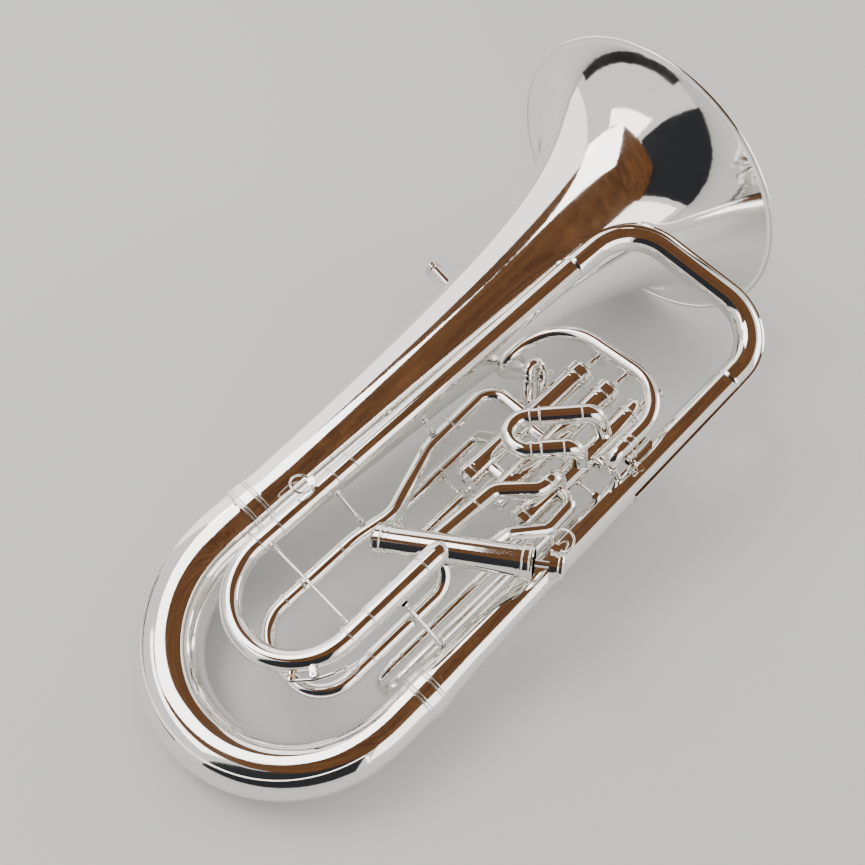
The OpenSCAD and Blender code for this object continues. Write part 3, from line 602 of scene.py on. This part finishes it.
def walk(path: list[Vector], bend: float, start_r: float, end_r: float, off: Vector, sides: int) -> Sweep:
    """Grows a skin along straight runs with round bends between them.

    Args:
        path: The ends and corners.
        bend: Radius of each bend.
        start_r: The skin's radius at its start.
        end_r: Its radius at its end.
        off: A direction off the path.
        sides: Points round it.

    Returns:
        The grown skin, with its faces outwards.
    """
    headings = [(b - a).normalized() for a, b in zip(path, path[1:])]
    turns = [a.angle(b) for a, b in zip(headings, headings[1:])]
    cuts = [0.0] + [bend * math.tan(t / 2) for t in turns] + [0.0]
    runs = [(b - a).length - cuts[i] - cuts[i + 1] for i, (a, b) in enumerate(zip(path, path[1:]))]
    whole = sum(runs) + sum(bend * t for t in turns)
    gone = 0.0
    size = lambda done: start_r + (end_r - start_r) * done / whole
    skin = Sweep(path[0], headings[0], off, start_r, sides)
    line = [path[0]]
    for i, run in enumerate(runs):
        skin.straight(run, size(gone + run), max(2, round(run / 6)))
        gone += run
        line.append(skin.centre.copy())
        if i < len(turns):
            across = headings[i + 1] - headings[i] * headings[i].dot(headings[i + 1])
            arc, before = bend * turns[i], gone
            steps = max(8, round(math.degrees(turns[i]) / 2.5))
            pivot = skin.centre + across.normalized() * bend
            skin.bend(across, bend, math.degrees(turns[i]), steps, lambda s: size(before + arc * s))
            gone += arc
            line += [pivot]
    skin.bm.normal_update()
    bmesh.ops.recalc_face_normals(skin.bm, faces=skin.bm.faces)
    face = min(skin.bm.faces, key=lambda f: (f.calc_center_median() - path[0]).length)
    axis_point = path[0] + headings[0] * (face.calc_center_median() - path[0]).dot(headings[0])
    if face.normal.dot(face.calc_center_median() - axis_point) < 0:
        bmesh.ops.reverse_faces(skin.bm, faces=skin.bm.faces)
    return skin


@dataclass
class ValveSprings:
    """The springs under the pistons."""

    count: int = 4

    def make(self, steel: bpy.types.Material) -> None:
        """Builds each spring from the frame's own coil, standing on its cap."""
        for number in range(1, self.count + 1):
            joint = next(j for j in frame["joints"] if j["name"] == f"valve_{number}_press")
            down = Vector(joint["axis"]).normalized()
            bm = bmesh.new()
            bm.from_mesh(frame["nodes"][f"spring_{number}"].data)
            bmesh.ops.remove_doubles(bm, verts=bm.verts, dist=2e-6)
            along = [v.co.dot(down) for v in bm.verts]
            length = max(along) - min(along)
            piece = finish(bm, f"spring_coil_{number}", "horn", steel, Matrix.Identity(4))
            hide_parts(f"spring_{number}")
            (length - joint["range_m"][1]) / length
            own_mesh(piece)


# ---- the frame's own pieces --------------------------------------------------------------


@dataclass
class Dressing:
    """Finishes for the nodes that stay as the frame has them."""

    finishes: dict[str, bpy.types.Material]
    weld: float = 2e-6
    crease: float = 32.0

    def dress(self) -> int:
        """Dresses every node that nothing replaces.

        Returns:
            How many nodes were dressed.
        """
        slots = {row["node"]: row["material_slot"] for row in frame["record"]["subparts"]}
        for name, node in frame["nodes"].items():
            material = self.finishes[slots[name]]
            if not node.material_slots:
                node.data.materials.append(material)
            for entry in node.material_slots:
                entry.material = material
            for face in node.data.polygons:
                face.use_smooth = True
            join = node.modifiers.new("weld", "WELD")
            join.merge_threshold = self.weld
            split = node.modifiers.new("crease", "EDGE_SPLIT")
            split.split_angle = math.radians(self.crease)
        return len(frame["nodes"])


# ---- stage -------------------------------------------------------------------------------


@dataclass
class Studio:
    """Pale floor, soft light, dark warm cards for the silver to reflect, and the camera."""

    eye: tuple[float, float, float] = (0.37534, -0.37143, 0.69141)
    look: tuple[float, float, float] = (-0.4606, 0.4406, -0.7705)
    right: tuple[float, float, float] = (0.6852, 0.7283, 0.0068)
    lens: float = 38.58
    floor_size: float = 9.0

    WALLS = (
        ("dark_room", 30, -2, 50, 66, (0.014, 0.016, 0.021, 1), 1.0),
        ("dark_skirting", -42, -2, 4, 52, (0.018, 0.015, 0.013, 1), 1.0),
        ("window", -30, 32, 50, 40, (1.0, 0.98, 0.94, 1), 4.2),
        ("bright_wall", 86, 4, 42, 36, (1.0, 0.985, 0.95, 1), 3.0),
        ("far_wall", -105, 0, 60, 60, (1.0, 0.985, 0.95, 1), 2.2),
    )

    def card(self, name: str, place: Vector, target: Vector, size: tuple[float, float],
             colour: tuple[float, float, float, float], glow: float) -> Graph:
        """Sets up one card that only reflections see.

        Args:
            name: The card's name.
            place: Its middle.
            target: The point that it faces.
            size: Its width and height.
            colour: Its colour.
            glow: How bright it is.

        Returns:
            Its material's nodes.
        """
        bm = bmesh.new()
        bmesh.ops.create_grid(bm, x_segments=1, y_segments=1, size=0.5)
        bmesh.ops.scale(bm, vec=(size[0], size[1], 1), verts=bm.verts)
        turn = (target - place).to_track_quat("Z", "Y").to_matrix().to_4x4()
        bmesh.ops.transform(bm, matrix=Matrix.Translation(place) @ turn, verts=bm.verts)
        mesh = bpy.data.meshes.new(name)
        bm.to_mesh(mesh)
        bm.free()
        g = Graph(name)
        g.set(Base_Color=(0, 0, 0, 1), Roughness=1.0, Emission_Color=colour, Emission_Strength=glow)
        mesh.materials.append(g.material)
        piece = bpy.data.objects.new(name, mesh)
        bpy.context.scene.collection.objects.link(piece)
        piece.visible_camera = False
        piece.visible_shadow = False
        piece.visible_diffuse = False
        return g

    def plank(self, g: Graph) -> None:
        """Gives a card the long grain of boards."""
        grain = g.noise(g.place((0.5, 9, 1)), 2.2, 4, 0.6)
        g.set(Emission_Color=g.tint(g.ramp(grain, 0.38, 0.66), (0.085, 0.030, 0.009, 1), (0.21, 0.088, 0.027, 1)))

    def wall(self, name: str, bearing: float, low: float, high: float, width: float,
             colour: tuple[float, float, float, float], glow: float) -> None:
        """Stands one card round the horn.

        Args:
            name: The card's name.
            bearing: Degrees round from the front, towards the outer branch.
            low: Degrees above the floor where it begins.
            high: Degrees above the floor where it ends.
            width: Degrees that it spans.
            colour: Its colour.
            glow: How bright it is.
        """
        away = 2.6
        turn = math.radians(bearing)
        foot, head = (away * math.tan(math.radians(e)) for e in (low, high))
        place = Vector((away * math.sin(turn), -away * math.cos(turn), (foot + head) / 2 + 0.1))
        face = Vector((0, 0, place.z))
        size = (2 * away * math.tan(math.radians(width / 2)), head - foot)
        self.card(name, place, face, size, colour, glow)

    def lamp(self, name: str, place: Vector, target: Vector, size: float, power: float) -> None:
        """Hangs one soft square lamp."""
        light = bpy.data.lights.new(name, "AREA")
        light.shape = "SQUARE"
        light.size = size
        light.energy = power
        made = bpy.data.objects.new(name, light)
        made.location = place
        made.rotation_euler = (target - place).to_track_quat("-Z", "Y").to_euler()
        bpy.context.scene.collection.objects.link(made)

    def make(self) -> None:
        """Builds the stage."""
        scene = bpy.context.scene
        eye, look = Vector(self.eye), Vector(self.look).normalized()
        right = Vector(self.right).normalized()
        world = bpy.data.worlds.new("studio")
        world.use_nodes = True
        world.node_tree.nodes["Background"].inputs["Color"].default_value = (0.93, 0.92, 0.89, 1)
        world.node_tree.nodes["Background"].inputs["Strength"].default_value = 1.15
        scene.world = world

        bm = bmesh.new()
        bmesh.ops.create_grid(bm, x_segments=1, y_segments=1, size=self.floor_size / 2)
        mesh = bpy.data.meshes.new("floor")
        bm.to_mesh(mesh)
        bm.free()
        g = Graph("floor")
        g.set(Base_Color=(0.63, 0.63, 0.615, 1), Roughness=0.6)
        mesh.materials.append(g.material)
        floor = bpy.data.objects.new("floor", mesh)
        scene.collection.objects.link(floor)

        middle = Vector((0, 0, 0.1))
        up = right.cross(look)
        ceiling = self.card("wood_ceiling", Vector((0.45, -0.05, 2.5)), Vector((0.45, -0.05, 0)), (4.8, 4.3),
                            (0.24, 0.092, 0.026, 1), 1.0)
        self.plank(ceiling)
        for name, bearing, low, high, width, colour, glow in self.WALLS:
            self.wall(name, bearing, low, high, width, colour, glow)
        self.lamp("over", middle + Vector((-0.9, -0.6, 1.9)), middle, 1.2, 22)
        self.lamp("side", middle + right * 2.0 + up * 0.6, middle, 1.2, 16)

        camera = bpy.data.cameras.new("camera")
        camera.lens = self.lens
        camera.sensor_width = 36
        camera.clip_start = 0.02
        taken = bpy.data.objects.new("camera", camera)
        taken.matrix_world = Matrix.Translation(eye) @ Matrix((right, up, -look)).transposed().to_4x4()
        scene.collection.objects.link(taken)
        scene.camera = taken


def main() -> None:
    """Builds the looks piece by piece."""
    logging.basicConfig(level=logging.INFO, format="%(name)s: %(message)s")
    silver = Plate("silver_plate", (0.93, 0.915, 0.88, 1), (0.86, 0.80, 0.70, 1)).make()
    finishes = {
        "silver": silver,
        "piston_metal": Steel("honed_nickel", (0.74, 0.73, 0.70, 1), 0.18).make(),
        "spring_steel": Steel("drawn_wire", (0.55, 0.55, 0.56, 1)).make(),
        "pearl": Shell("pearl_shell").make(),
        "cork": Cork("cut_cork").make(),
    }
    log.info("%d finishes", len(finishes))
    horn = Horn.read(Bell.mouth + 1.5 + 0.02)
    log.info("%d nodes dressed", Dressing(finishes).dress())
    for part in (Bell(), BottomBow(), TopBow()):
        part.make(horn, silver)
        log.info("%s built", type(part).__name__)
    ValveSprings().make(finishes["spring_steel"])
    log.info("springs built")
    Studio().make()
    log.info("studio set")


if __name__ == "__main__":
    main()
